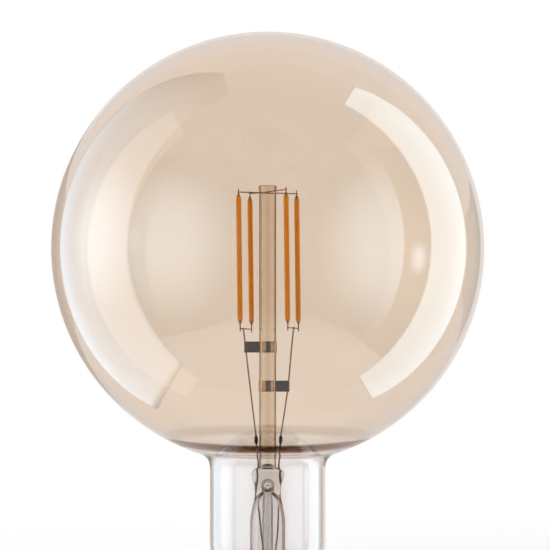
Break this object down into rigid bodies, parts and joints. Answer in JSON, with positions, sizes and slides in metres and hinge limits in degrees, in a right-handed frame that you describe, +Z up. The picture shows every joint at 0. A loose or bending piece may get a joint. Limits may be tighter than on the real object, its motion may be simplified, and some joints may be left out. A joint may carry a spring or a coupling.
{
  "type": "smart light bulb",
  "caption": "Large amber globe filament bulb with a clear neck, an open filament cage on a glass stem, a wireless driver in a plastic collar and a screw cap.",
  "frame": {"origin": "middle of the bottom contact's face, which is the lowest point of the bulb", "axes": "+Z up the bulb's axis, from the cap to the globe's crown; +X to the right of someone facing the bulb's front, which faces -Y"},
  "size_m": [0.125, 0.125, 0.192],
  "materials": {
    "amber_glass": "smooth, thin amber coat over clear glass",
    "stem_glass": "smooth, clear",
    "phosphor": "matte orange phosphor in silicone",
    "plated_steel": "satin",
    "nickel_wire": "satin, warm tinted",
    "weld_metal": "rough weld",
    "copper_wire": "satin copper",
    "white_sleeve": "woven glass sleeve",
    "clip_steel": "satin",
    "cement": "dull cement",
    "collar_plastic": "fine satin",
    "cap_metal": "plated, satin",
    "black_glass": "glossy black glass",
    "contact_brass": "brass with a solder skin",
    "green_board": "solder mask",
    "blue_board": "solder mask",
    "capacitor_sleeve": "shrink sleeve",
    "tinned_wire": "bright tin",
    "red_epoxy": "dipped epoxy",
    "ferrite": "dull ferrite",
    "chip_black": "moulded epoxy",
    "chip_tan": "ceramic",
    "solder": "bright solder",
    "resistor_paint": "lacquer",
    "blue_insulation": "insulation",
    "tinned_steel": "tinned sheet",
    "copper_trace": "copper under mask",
    "gold_pins": "gold flash"
  },
  "bodies": {
    "root": {"bridge_rectifier": "chip_black", "bulk_capacitor": "capacitor_sleeve", "bulk_capacitor_leads": "tinned_wire", "cap_insulator": "black_glass", "cap_shell": "cap_metal", "centre_contact": "contact_brass", "chip_capacitors": "chip_tan", "chip_resistors": "chip_black", "choke_core": "ferrite", "choke_winding": "copper_wire", "clip_lower": "clip_steel", "clip_upper": "clip_steel", "collar": "collar_plastic", "cross_wire_left": "nickel_wire", "cross_wire_right": "nickel_wire", "driver_board": "green_board", "driver_chip": "chip_black", "exhaust_tube": "stem_glass", "filament_1": "phosphor", "filament_2": "phosphor", "filament_3": "phosphor", "filament_4": "phosphor", "filament_tabs_1": "plated_steel", "filament_tabs_2": "plated_steel", "filament_tabs_3": "plated_steel", "filament_tabs_4": "plated_steel", "film_capacitor": "red_epoxy", "fuse_leads": "tinned_wire", "fuse_sleeve": "white_sleeve", "fusible_resistor": "resistor_paint", "glass_envelope": "amber_glass", "header_body": "chip_black", "header_pins": "gold_pins", "lead_wire_left": "nickel_wire", "lead_wire_right": "nickel_wire", "neck_cement": "cement", "neutral_lead": "blue_insulation", "power_transistor": "chip_black", "seal_wire_left": "copper_wire", "seal_wire_right": "copper_wire", "solder_joints": "solder", "stem_flare": "stem_glass", "support_tube": "stem_glass", "tie_wire_inner": "nickel_wire", "tie_wire_outer": "nickel_wire", "weld_bead_left": "weld_metal", "weld_bead_right": "weld_metal", "wifi_antenna": "copper_trace", "wifi_board": "blue_board", "wifi_shield_can": "tinned_steel", "wire_sleeve_left": "white_sleeve", "wire_sleeve_right": "white_sleeve"}
  },
  "joints": []
}
